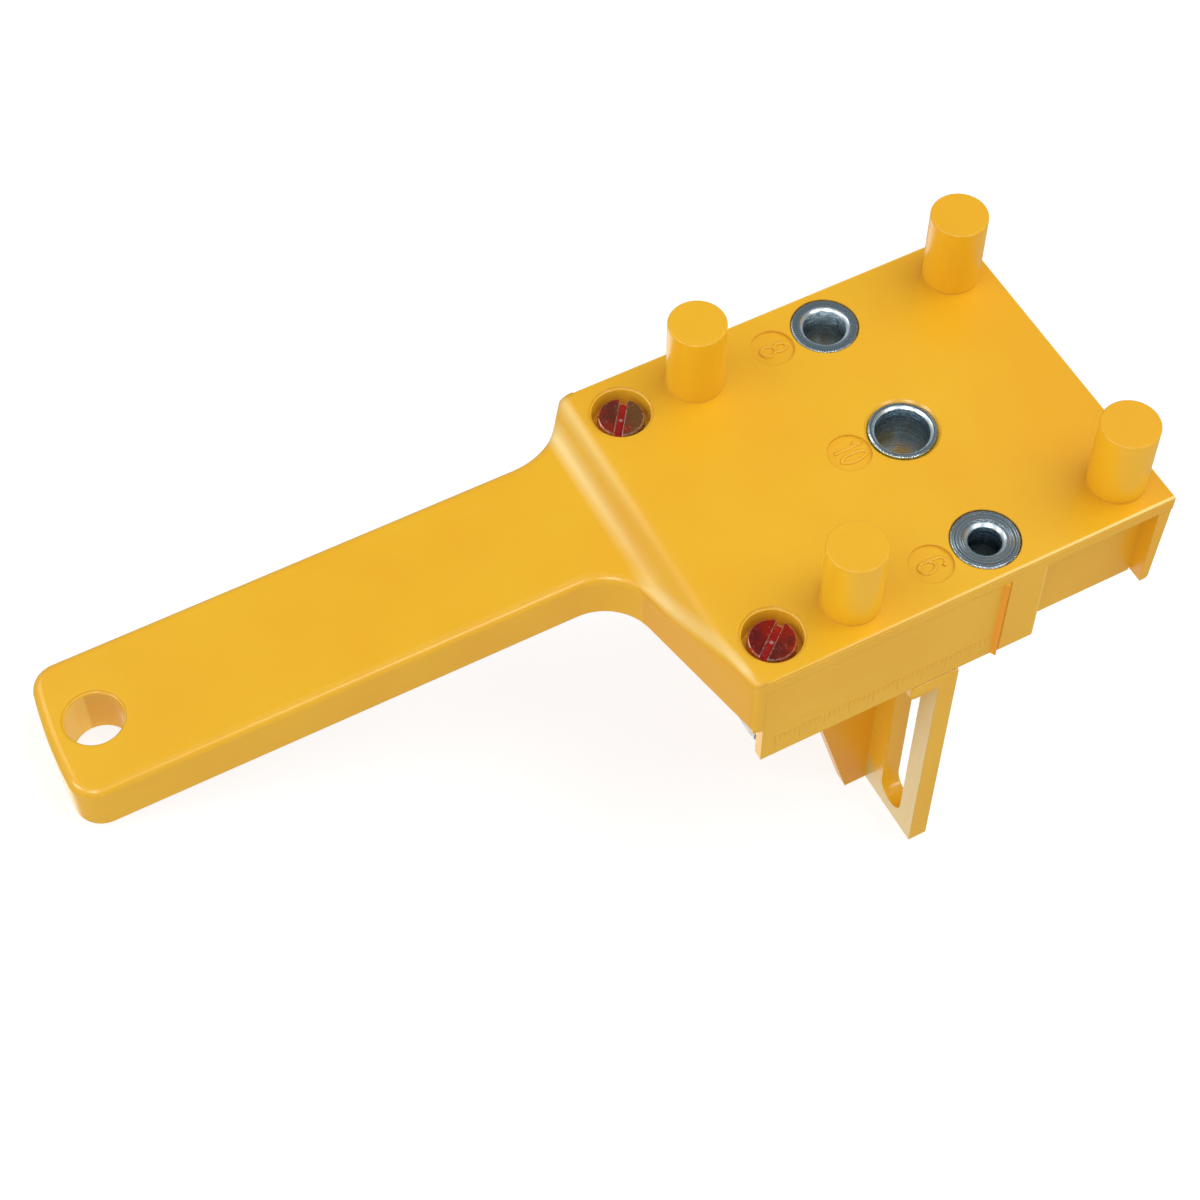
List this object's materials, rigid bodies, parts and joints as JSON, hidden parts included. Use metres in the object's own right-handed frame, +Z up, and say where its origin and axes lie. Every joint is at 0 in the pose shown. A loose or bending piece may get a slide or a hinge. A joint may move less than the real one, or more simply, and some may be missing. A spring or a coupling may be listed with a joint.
{
  "type": "doweling jig",
  "caption": "Handheld plastic doweling jig: a head with steel drill bushings and edge pins, a flat handle, and a slotted fence that slides below and is clamped by screws.",
  "frame": {"origin": "centre of the 10 mm guide bushing's mouth, in the head's top face", "axes": "+Z up and +Y across the head, as the jig lies at rest on its fence's foot and its handle's end; +X points level from the handle to the head's far end, so the bushings lean 26.32 degrees from +Z towards -X"},
  "size_m": [0.1797, 0.072, 0.1117],
  "materials": {
    "yellow_plastic": "glossy",
    "bushing_steel": "turned",
    "passivated_steel": "passivated",
    "zinc_steel": "zinc plated"
  },
  "bodies": {
    "head": {"jig_body": "yellow_plastic", "bushing_6": "bushing_steel", "bushing_8": "bushing_steel", "bushing_10": "bushing_steel"},
    "fence": {"fence": "yellow_plastic"},
    "front_screw": {"clamp_screw_front": "passivated_steel"},
    "back_screw": {"clamp_screw_back": "passivated_steel"},
    "front_nut": {"clamp_nut_front": "zinc_steel"},
    "back_nut": {"clamp_nut_back": "zinc_steel"}
  },
  "joints": [
    {"name": "fence_slide", "type": "slide", "parent": "head", "child": "fence", "axis": [0.8964, 0, 0.4433], "range_m": [-0.025, 0]},
    {"name": "front_nut_travel", "type": "slide", "parent": "head", "child": "front_nut", "axis": [-0.4433, 0, 0.8964], "range_m": [-0.0016, 0]},
    {"name": "front_screw_turn", "type": "hinge", "parent": "head", "child": "front_screw", "pos_m": [-0.03739, -0.0271, -0.02005], "axis": [-0.4433, 0, 0.8964], "range_deg": [0, 720]},
    {"name": "back_nut_travel", "type": "slide", "parent": "head", "child": "back_nut", "axis": [-0.4433, 0, 0.8964], "range_m": [-0.0016, 0]},
    {"name": "back_screw_turn", "type": "hinge", "parent": "head", "child": "back_screw", "pos_m": [-0.03739, 0.0271, -0.02005], "axis": [-0.4433, 0, 0.8964], "range_deg": [0, 720]}
  ],
  "couplings": [
    {"joint": "front_screw_turn", "follows": "front_nut_travel", "rad_per_m": -7854},
    {"joint": "back_screw_turn", "follows": "back_nut_travel", "rad_per_m": -7854}
  ]
}
